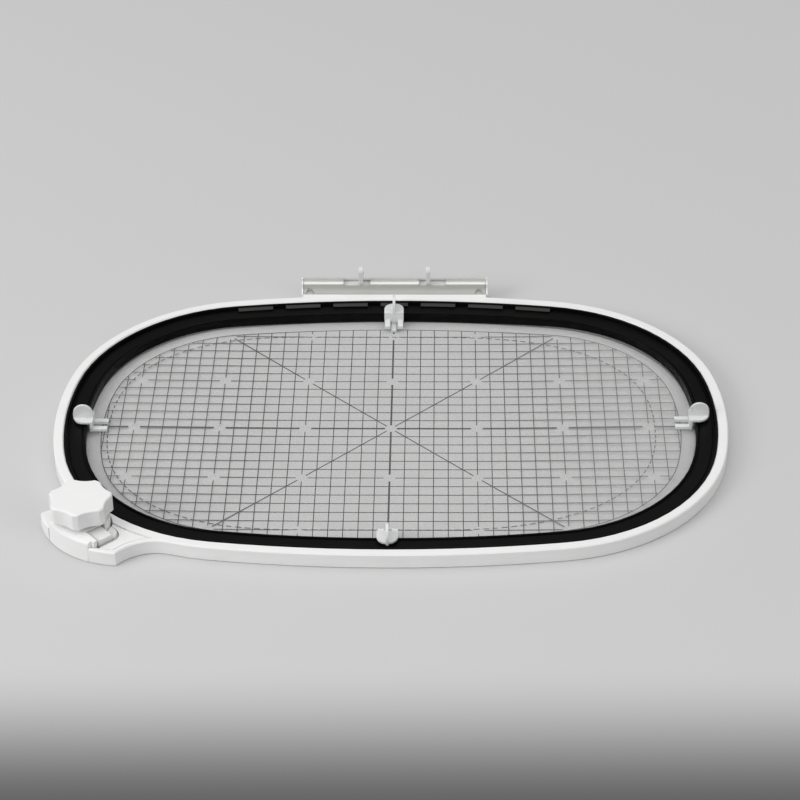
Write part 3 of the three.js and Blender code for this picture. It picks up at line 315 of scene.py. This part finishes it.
def share_between(tree, value, low, high, way="LINEAR"):
    """Share from 0 to 1 between two limits."""
    return node(
        tree,
        "ShaderNodeMapRange",
        settings={"interpolation_type": way},
        Value=value,
        From_Min=low,
        From_Max=high,
    ).outputs["Result"]


def ramp_between(tree, share, first, last, first_spot=0.0, last_spot=1.0):
    """Colour from first to last as a share grows."""
    ramp = node(tree, "ShaderNodeValToRGB", Fac=share)
    stops = ramp.color_ramp.elements
    stops[0].position, stops[1].position = first_spot, last_spot
    stops[0].color = (*first, 1.0)
    stops[1].color = (*last, 1.0)
    return ramp.outputs["Color"]


def tint(tree, value, dark, light):
    """Colour from dark to light over the middle of a noise."""
    return ramp_between(tree, value, dark, light, NOISE_LOW, NOISE_HIGH)


def product(tree, first, second):
    """Two values multiplied."""
    made = node(tree, "ShaderNodeMath", settings={"operation": "MULTIPLY"})
    fill(tree, made.inputs[0], first)
    fill(tree, made.inputs[1], second)
    return made.outputs["Value"]


def mixed(tree, share, first, second, way="MIX"):
    """Two colours mixed, each given as a colour or as a socket."""
    mix = node(tree, "ShaderNodeMix", settings={"data_type": "RGBA", "blend_type": way})
    fill(tree, mix.inputs[MIX_SHARE], share)
    fill(tree, mix.inputs[MIX_FIRST], first)
    fill(tree, mix.inputs[MIX_SECOND], second)
    return mix.outputs[MIX_COLOUR]


def painted_highlight_mask(tree, top, fade):
    """Mask for a painted highlight: 1 on faces that look up at about one height, and 0 elsewhere."""
    height = object_place(tree, "Z")
    normal = node(tree, "ShaderNodeTexCoord").outputs["Normal"]
    upright = node(tree, "ShaderNodeSeparateXYZ", Vector=normal).outputs["Z"]
    above = share_between(tree, height, top - fade, top)
    below = share_between(tree, height, top + fade, top)
    return product(tree, product(tree, above, below), share_between(tree, upright, *FACING_UP))


# Materials
def moulded(name, colours, rough, gloss):
    """Moulded plastic: faint cloudy colour, fine grain and a slightly uneven gloss."""
    made, tree, surface = shader(name)
    cloud = tint(tree, noise(tree, CLOUD_SIZE), *colours)
    paint(tree, surface, cloud, spread(tree, noise(tree, GLOSS_SIZE), *rough))
    surface.inputs["Specular IOR Level"].default_value = gloss
    raised(tree, surface, noise(tree, GRAIN_SIZE, GRAIN_DETAIL), GRAIN_BUMP, GRAIN_DEPTH)
    return made


def black_with_pad_highlight():
    """Black plastic with a painted highlight on the upward tops of its pads."""
    made = moulded("black_moulding", greys(BLACK_SHADES), BLACK_ROUGH, BLACK_GLOSS)
    tree = made.node_tree
    colour = tree.nodes["Principled BSDF"].inputs["Base Color"]
    plain = colour.links[0].from_socket
    # Painted highlight on the upward tops of the pads
    fill(tree, colour, mixed(tree, painted_highlight_mask(tree, PAD_TOP, PAD_FADE), plain, PAD_PAINTED_HIGHLIGHT))
    return made


def clear_moulding(name, see_through):
    """Milky, slightly see-through plastic."""
    made, tree, surface = shader(name)
    cloud = noise(tree, MILKY_CLOUD)
    paint(tree, surface, tint(tree, cloud, *MILKY_COLOURS), spread(tree, cloud, *MILKY_ROUGH))
    surface.inputs["Transmission Weight"].default_value = see_through
    surface.inputs["IOR"].default_value = MILKY_IOR
    return made


def clear_sheet():
    """Clear sheet with a faint grey haze."""
    made, tree, surface = shader("clear_sheet")
    haze = tint(tree, noise(tree, SHEET_CLOUD), *SHEET_COLOURS)
    paint(tree, surface, haze, spread(tree, noise(tree, SHEET_GLOSS_SIZE), *SHEET_ROUGH))
    surface.inputs["Specular IOR Level"].default_value = SHEET_GLOSS
    surface.inputs["Alpha"].default_value = SHEET_ALPHA
    return made


def drilled_edge():
    """Frosted wall of a drilled hole."""
    made, tree, surface = shader("drilled_edge")
    frost = tint(tree, noise(tree, FROST_CLOUD), *greys(FROST_SHADES))
    paint(tree, surface, frost, spread(tree, noise(tree, FROST_GRAIN), *FROST_ROUGH))
    return made


def ink():
    """Dark print, a little thinner towards the hoop's right end."""
    made, tree, surface = shader("print_ink")
    fade = share_between(tree, object_place(tree, "X"), *INK_FADE)
    colour = ramp_between(tree, fade, *greys(INK_SHADES))
    paint(tree, surface, colour, spread(tree, noise(tree, INK_GRAIN), *INK_ROUGH))
    return made


def drawn_metal(name, colours, rough, along, metallic):
    """Satin metal with fine lines along one axis."""
    made, tree, surface = shader(name)
    stretch = [LINE_STRETCH if axis == along else 1.0 for axis in "XYZ"]
    lines = noise(tree, LINE_SIZE, LINE_DETAIL, stretch)
    paint(tree, surface, tint(tree, lines, *colours), spread(tree, lines, *rough))
    surface.inputs["Metallic"].default_value = metallic
    raised(tree, surface, lines, LINE_BUMP, LINE_DEPTH)
    return made


def rail_metal():
    """Grey anodised rail with painted shade by height, darkest in its cove, and a painted highlight
    on its ledge.
    """
    made = drawn_metal("satin_aluminium", greys(RAIL_LINE_SHADES), RAIL_ROUGH, "X", RAIL_METALLIC)
    tree = made.node_tree
    colour = tree.nodes["Principled BSDF"].inputs["Base Color"]
    lines = colour.links[0].from_socket
    low, top = RAIL_SHADE_HEIGHTS[0], RAIL_SHADE_HEIGHTS[-1]
    # Painted shade: the grey darkens low in the cove and lightens higher up
    height = share_between(tree, object_place(tree, "Z"), low, top)
    body = node(tree, "ShaderNodeValToRGB", Fac=height)
    stops = body.color_ramp.elements
    while len(stops) < len(RAIL_GREY_AND_PAINTED_SHADE):
        stops.new(1.0)
    for stop, spot, shade in zip(stops, RAIL_SHADE_HEIGHTS, RAIL_GREY_AND_PAINTED_SHADE):
        stop.position = (spot - low) / (top - low)
        stop.color = (*(shade * part for part in RAIL_CAST), 1.0)
    # Painted highlight on the upward face of the ledge
    bright = painted_highlight_mask(tree, LEDGE_Z, LEDGE_FADE)
    ledge = mixed(tree, bright, body.outputs["Color"], LEDGE_PAINTED_HIGHLIGHT)
    fill(tree, colour, mixed(tree, RAIL_LINES, ledge, lines, "OVERLAY"))
    return made


white = moulded("white_moulding", WHITE_COLOURS, WHITE_ROUGH, WHITE_GLOSS)
black = black_with_pad_highlight()
dark = moulded("dark_moulding", greys(DARK_SHADES), DARK_ROUGH, DARK_GLOSS)
clip_clear = clear_moulding("clip_clear", CLIP_SEE_THROUGH)
catch_clear = clear_moulding("catch_clear", CATCH_SEE_THROUGH)
sheet_clear = clear_sheet()
hole_frost = drilled_edge()
print_ink = ink()
aluminium = rail_metal()
steel = drawn_metal("drawn_steel", STEEL_COLOURS, STEEL_ROUGH, "Z", STEEL_METALLIC)


# Solids: smooth faces with softened edges
def dress(names, material, edge, segments=EDGE_SEGMENTS, clamped=False):
    """Gives solids a material and edges of that width, which a clamp narrows in tight places."""
    for name in names:
        body = nodes[name]
        body.data.materials.clear()
        body.data.materials.append(material)
        weld = body.modifiers.new("weld", "WELD")
        weld.merge_threshold = WELD_REACH
        soft = body.modifiers.new("edges", "BEVEL")
        soft.width = edge
        soft.segments = segments
        soft.limit_method = "ANGLE"
        soft.angle_limit = EDGE_ANGLE
        soft.use_clamp_overlap = clamped
        even = body.modifiers.new("shading", "WEIGHTED_NORMAL")
        even.weight = NORMAL_WEIGHT
        body.data.shade_smooth()


dress(["outer_ring"], white, RING_EDGE)
dress(["lock_cover"], white, COVER_EDGE)
dress(["rail_cap_left", "rail_cap_right"], white, CAP_EDGE)
dress(["lock_link"], white, LINK_EDGE)
dress(["lock_knob"], white, KNOB_EDGE, KNOB_SEGMENTS)
dress(["inner_ring"], black, INNER_EDGE)
dress(["scroll_cam"], dark, CAM_EDGE)
dress(["coupling_rail"], aluminium, RAIL_EDGE, clamped=True)
dress(["clip_left", "clip_right", "clip_front", "clip_rear"], clip_clear, CLIP_EDGE, clamped=True)
dress(["catch_left", "catch_right"], catch_clear, CATCH_EDGE)
dress(["lock_spindle", "spindle_washer", "spindle_screw", "link_pin"], steel, SMALL_EDGE)
dress(["cover_screw_1", "cover_screw_2"], steel, SMALL_EDGE)
dress(["rail_screw_left", "rail_screw_right"], aluminium, SMALL_EDGE)

# Template sheet: the plate of the frame, thinned and bowed
plate_low, plate_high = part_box("template")
centre = (plate_low + plate_high) / 2
half_length = (plate_high.x - plate_low.x) / 2
half_width = (plate_high.y - plate_low.y) / 2


def new_piece(name, mesh, material):
    """New object of that mesh in the scene, with one material."""
    made = bpy.data.objects.new(name, mesh)
    bpy.context.scene.collection.objects.link(made)
    made.data.materials.clear()
    made.data.materials.append(material)
    return made


def underside(x):
    """Height of the sheet's lower face at a distance along the hoop."""
    share = min(abs(x) / half_length, 1.0)
    part = max(share - SHEET_FLAT_SHARE, 0.0) / (1.0 - SHEET_FLAT_SHARE)
    rise = SHEET_LEFT_RISE if x < 0 else SHEET_RIGHT_RISE
    return SHEET_FLOOR_GAP + rise * part * part * (3.0 - 2.0 * part)


def corner_centre():
    """Centre of the corner arc, which touches the end arc and the side arc from inside."""
    end = Vector((half_length - TEMPLATE_END_RADIUS, 0.0))
    side = Vector((0.0, half_width - TEMPLATE_SIDE_RADIUS))
    from_end = TEMPLATE_END_RADIUS - TEMPLATE_CORNER_RADIUS
    from_side = TEMPLATE_SIDE_RADIUS - TEMPLATE_CORNER_RADIUS
    gap = (side - end).length
    along = (from_end**2 - from_side**2 + gap**2) / (2 * gap)
    aside = math.sqrt(from_end**2 - along**2)
    forward = (side - end) / gap
    return end + forward * along + Vector((-forward.y, forward.x)) * aside


def oval_height(x, inset):
    """Half the oval's width at a distance along it, that far inside the template's edge."""
    end_radius = TEMPLATE_END_RADIUS - inset
    corner_radius = TEMPLATE_CORNER_RADIUS - inset
    side_radius = TEMPLATE_SIDE_RADIUS - inset
    end_x = half_length - TEMPLATE_END_RADIUS
    side_y = half_width - TEMPLATE_SIDE_RADIUS
    corner = corner_centre()
    x = abs(x)
    to_end = Vector((corner.x - end_x, corner.y)).normalized()
    to_side = Vector((corner.x, corner.y - side_y)).normalized()
    if x <= to_side.x * side_radius:
        return side_y + math.sqrt(side_radius**2 - x**2)
    if x <= end_x + to_end.x * end_radius:
        return corner.y + math.sqrt(max(corner_radius**2 - (x - corner.x) ** 2, 0.0))
    return math.sqrt(max(end_radius**2 - (x - end_x) ** 2, 0.0))


def mark_spots():
    """Middles of the marks that lie inside the printed outline."""
    columns = [c for c in range(-LAST_COLUMN, LAST_COLUMN + 1) if c % MARK_STEP == 0]
    rows = [r for r in range(-LAST_ROW, LAST_ROW + 1) if r % MARK_STEP == 0]
    spots = [(c * CELL, r * CELL) for c in columns for r in rows]
    return [(x, y) for x, y in spots if abs(y) < oval_height(x, OUTLINE_INSET)]


def closed_loop(work, points):
    """Edges of a closed line through points at height 0."""
    verts = [work.verts.new((x, y, 0.0)) for x, y in points]
    return [work.edges.new(pair) for pair in zip(verts, verts[1:] + verts[:1])]


def sheet_outline():
    """Points round the template's top face, with its notches for the clips."""
    work = bmesh.new()
    work.from_mesh(nodes["template"].data)
    bmesh.ops.remove_doubles(work, verts=work.verts, dist=WELD_REACH)
    bmesh.ops.dissolve_limit(work, angle_limit=FLAT_ANGLE, verts=work.verts, edges=work.edges)
    top = max(work.faces, key=lambda face: face.calc_center_median().z)
    points = [(vert.co.x, vert.co.y) for vert in top.verts]
    work.free()
    return points


def hole_outline(x, y):
    """Points round a marking hole's lower rim."""
    turns = [math.tau * k / MARK_HOLE_SIDES for k in range(MARK_HOLE_SIDES)]
    reach = MARK_HOLE_RADIUS
    return [(centre.x + x + reach * math.cos(t), centre.y + y + reach * math.sin(t)) for t in turns]


def flare_holes(work, upper):
    """Widens each marking hole towards its top and gives its wall the second material."""
    flare = MARK_HOLE_TOP_RADIUS / MARK_HOLE_RADIUS
    for x, y in mark_spots():
        hole = Vector((centre.x + x, centre.y + y))
        rim = {vert for vert in work.verts if (vert.co.xy - hole).length < MARK_HOLE_TOP_RADIUS}
        for face in {face for vert in rim for face in vert.link_faces}:
            if rim.issuperset(face.verts):
                face.material_index = 1
        for vert in rim & upper:
            vert.co.xy = hole + (vert.co.xy - hole) * flare


def make_sheet():
    """Fills the outline round the holes, cuts it across so that it can bow, and thickens it."""
    work = bmesh.new()
    edges = closed_loop(work, sheet_outline())
    for x, y in mark_spots():
        edges += closed_loop(work, hole_outline(x, y))
    bmesh.ops.triangle_fill(work, use_beauty=True, use_dissolve=False, edges=edges)
    cuts = math.floor(half_length / CELL)
    for k in range(-cuts, cuts):
        geometry = [*work.verts, *work.edges, *work.faces]
        spot = ((k + 0.5) * CELL, 0, 0)
        bmesh.ops.bisect_plane(work, geom=geometry, plane_co=spot, plane_no=(1, 0, 0))
    lifted = bmesh.ops.extrude_face_region(work, geom=list(work.faces))["geom"]
    upper = {item for item in lifted if isinstance(item, bmesh.types.BMVert)}
    for vert in work.verts:
        vert.co.z = underside(vert.co.x) + (SHEET_THICKNESS if vert in upper else 0.0)
    flare_holes(work, upper)
    bmesh.ops.recalc_face_normals(work, faces=work.faces)
    mesh = bpy.data.meshes.new("template_sheet")
    work.to_mesh(mesh)
    work.free()
    sheet = new_piece("template_sheet", mesh, sheet_clear)
    sheet.data.materials.append(hole_frost)
    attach(sheet, "sheet")
    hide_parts("template")


# Print: every line is a thin strip that follows the sheet
class Print:
    """Mesh that gathers the strips."""

    def __init__(self):
        self.mesh = bmesh.new()

    def strip(self, start, end, width):
        """Adds a straight strip, unless it would be shorter than it is wide."""
        start, end = Vector(start), Vector(end)
        length = (end - start).length
        if length < width:
            return
        side = Vector((start.y - end.y, end.x - start.x)) * (width / 2 / length)
        steps = max(1, math.ceil(abs(end.x - start.x) / PRINT_STEP))
        rings = [self.ring(start.lerp(end, k / steps), side) for k in range(steps + 1)]
        for first, second in zip(rings, rings[1:]):
            for k in range(len(first)):
                self.mesh.faces.new((first[k], second[k], second[k - 1], first[k - 1]))
        self.mesh.faces.new(rings[0][::-1])
        self.mesh.faces.new(rings[-1])

    def ring(self, spot, side):
        """Four corners of a strip's cross-section."""
        top = underside(spot.x) + PRINT_SINK
        low = underside(spot.x) - PRINT_DEPTH
        corners = ((-1, low), (1, low), (1, top), (-1, top))
        return [
            self.mesh.verts.new((spot.x + s * side.x + centre.x, spot.y + s * side.y + centre.y, z))
            for s, z in corners
        ]


def line_stops(reach, gap):
    """Stretches of a line from -reach to reach, cut short by the gap on both sides of every mark."""
    if gap == 0:
        return [(-reach, reach)]
    stops = [-reach]
    for k in range(-MARKS_EACH_WAY, MARKS_EACH_WAY + 1):
        spot = k * MARK_STEP * CELL
        if abs(spot) < reach + gap:
            stops += [spot - gap, spot + gap]
    stops.append(reach)
    pairs = zip(stops[::2], stops[1::2])
    return [(max(a, -reach), min(b, reach)) for a, b in pairs if b > a]


def gap_of(line):
    """Gap at the marks of a row or column, which only every sixth one has."""
    return MARK_GAP if line % MARK_STEP == 0 else 0


def row_reach(y, inset):
    """Half the oval's length at a height across it."""
    low, high = 0.0, half_length - inset
    for _ in range(HALVINGS):
        middle = (low + high) / 2
        if oval_height(middle, inset) > abs(y):
            low = middle
        else:
            high = middle
    return low


def dashed_outline():
    """Points round the dashed line: two halves of a squarish oval joined by straight sides."""
    points = []
    for centre_x, reach, turn in (
        (DASH_RIGHT_CENTRE, DASH_RIGHT_REACH, -90),
        (DASH_LEFT_CENTRE, DASH_LEFT_REACH, 90),
    ):
        for k in range(DASH_STEPS + 1):
            angle = math.radians(turn + 180 * k / DASH_STEPS)
            cos, sin = math.cos(angle), math.sin(angle)
            x = math.copysign(abs(cos) ** (2 / DASH_POWER), cos)
            y = math.copysign(abs(sin) ** (2 / DASH_POWER), sin)
            points.append(Vector((centre_x + reach * x, DASH_HALF_HEIGHT * y)))
    return points


def solid_outline():
    """Points round the solid line, an oval inside the template's edge."""
    reach = half_length - OUTLINE_INSET
    turns = [math.pi * k / OUTLINE_STEPS for k in range(OUTLINE_STEPS + 1)]
    spots = [-reach * math.cos(turn) for turn in turns]
    upper = [Vector((x, oval_height(x, OUTLINE_INSET))) for x in spots]
    lower = [Vector((p.x, -p.y)) for p in reversed(upper)]
    return upper + lower[1:-1]


def dashes_along(points, dash, gap):
    """Cuts a closed line into dashes."""
    pieces, left, drawing = [], dash, True
    for start, end in zip(points, points[1:] + points[:1]):
        length = (end - start).length
        done = 0.0
        while length - done > LEAST_LENGTH:
            step = min(left, length - done)
            if drawing:
                first, last = done / length, (done + step) / length
                pieces.append((start.lerp(end, first), start.lerp(end, last)))
            done += step
            left -= step
            if left <= LEAST_LENGTH:
                drawing = not drawing
                left = dash if drawing else gap
    return pieces


def make_print():
    """Draws the columns, the rows, the diagonals and both outlines as one piece."""
    drawn = Print()
    for column in range(-LAST_COLUMN, LAST_COLUMN + 1):
        x = column * CELL
        width = CENTRE_COLUMN_WIDTH if column == 0 else COLUMN_WIDTH
        for low, high in line_stops(oval_height(x, OUTLINE_INSET), gap_of(column)):
            drawn.strip((x, low), (x, high), width)
    for row in range(-LAST_ROW, LAST_ROW + 1):
        y = row * CELL
        width = CENTRE_ROW_WIDTH if row == 0 else ROW_WIDTH
        for low, high in line_stops(row_reach(y, OUTLINE_INSET), gap_of(row)):
            drawn.strip((low, y), (high, y), width)
    for slope in (-1, 1):
        for low, high in line_stops(LAST_ROW * CELL, MARK_GAP / math.sqrt(2)):
            drawn.strip((low, slope * low), (high, slope * high), DIAGONAL_WIDTH)
    outline = solid_outline()
    for start, end in zip(outline, outline[1:] + outline[:1]):
        drawn.strip(start, end, OUTLINE_WIDTH)
    for start, end in dashes_along(dashed_outline(), DASH_LENGTH, DASH_GAP):
        drawn.strip(start, end, DASH_WIDTH)
    mesh = bpy.data.meshes.new("template_print")
    drawn.mesh.to_mesh(mesh)
    drawn.mesh.free()
    lines = new_piece("template_print", mesh, print_ink)
    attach(lines, "sheet")


def weld_mesh(mesh):
    """Joins corners of a mesh that lie on the same spot."""
    work = bmesh.new()
    work.from_mesh(mesh)
    bmesh.ops.remove_doubles(work, verts=work.verts, dist=WELD_REACH)
    work.to_mesh(mesh)
    work.free()


def make_spring(word):
    """Spring behind the left or right catch."""
    node_name = f"catch_spring_{word}"
    spring = new_piece(f"spring_{word}", nodes[node_name].data.copy(), steel)
    weld_mesh(spring.data)
    spring.data.shade_smooth()
    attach(spring, "outer")
    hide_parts(node_name)
    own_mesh(spring)


make_sheet()
make_print()
for word in ("left", "right"):
    make_spring(word)


# Stage: pale floor, soft light and the camera
def make_floor():
    """Square pale floor under the hoop, with painted shade towards its front."""
    made, tree, surface = shader("pale_floor")
    # Painted shade: the floor darkens towards its front
    front_shade = share_between(tree, object_place(tree, "Y"), *FLOOR_SHADE_FADE, way="SMOOTHSTEP")
    paint(tree, surface, ramp_between(tree, front_shade, *greys(FLOOR_SHADE_AND_PALE)), FLOOR_ROUGH)
    surface.inputs["Specular IOR Level"].default_value = FLOOR_GLOSS
    mesh = bpy.data.meshes.new("floor")
    corners = [(x * FLOOR_HALF, y * FLOOR_HALF, 0) for x, y in ((-1, -1), (1, -1), (1, 1), (-1, 1))]
    mesh.from_pydata(corners, [], [(0, 1, 2, 3)])
    new_piece("floor", mesh, made)


def make_world():
    """Pale sky that grows brighter towards the zenith."""
    world = bpy.data.worlds.new("studio")
    world.use_nodes = True
    tree = world.node_tree
    place = node(tree, "ShaderNodeTexCoord").outputs["Generated"]
    apart = node(tree, "ShaderNodeSeparateXYZ", Vector=place)
    bright = node(
        tree,
        "ShaderNodeMapRange",
        settings={"interpolation_type": "SMOOTHSTEP"},
        Value=apart.outputs["Z"],
        From_Min=SKY_START,
        From_Max=SKY_END,
        To_Min=SKY_LOW,
        To_Max=SKY_HIGH,
    )
    fill(tree, tree.nodes["Background"].inputs["Color"], bright.outputs["Result"])
    bpy.context.scene.world = world


def make_lamp(name, spot, size, power):
    """Round soft lamp that faces the middle of the hoop."""
    data = bpy.data.lights.new(name, "AREA")
    data.shape = "DISK"
    data.size = size
    data.energy = power
    lamp = bpy.data.objects.new(name, data)
    bpy.context.scene.collection.objects.link(lamp)
    lamp.location = spot
    lamp.rotation_mode = "QUATERNION"
    lamp.rotation_quaternion = (-Vector(spot)).to_track_quat("-Z", "Y")


def make_camera():
    """Camera with the view of the photograph."""
    data = bpy.data.cameras.new("camera")
    data.lens = CAMERA_LENS
    data.sensor_width = SENSOR_WIDTH
    data.clip_start, data.clip_end = CAMERA_NEAR, CAMERA_FAR
    camera = bpy.data.objects.new("camera", data)
    bpy.context.scene.collection.objects.link(camera)
    rise, turn = math.radians(CAMERA_ELEVATION), math.radians(CAMERA_AZIMUTH)
    level = Vector((math.sin(turn), math.cos(turn), 0.0)) * math.cos(rise)
    forward = level - Vector((0.0, 0.0, math.sin(rise)))
    right = forward.cross(Vector((0, 0, 1))).normalized()
    up = right.cross(forward)
    roll = Matrix.Rotation(math.radians(CAMERA_ROLL), 3, "Z")
    rotation = Matrix((right, up, -forward)).transposed() @ roll
    camera.matrix_world = Matrix.Translation(CAMERA_SPOT) @ rotation.to_4x4()
    bpy.context.scene.camera = camera


make_floor()
make_world()
for name, (spot, size, power) in LAMPS.items():
    make_lamp(name, spot, size, power)
make_camera()
bpy.context.scene.view_settings.view_transform = "Standard"
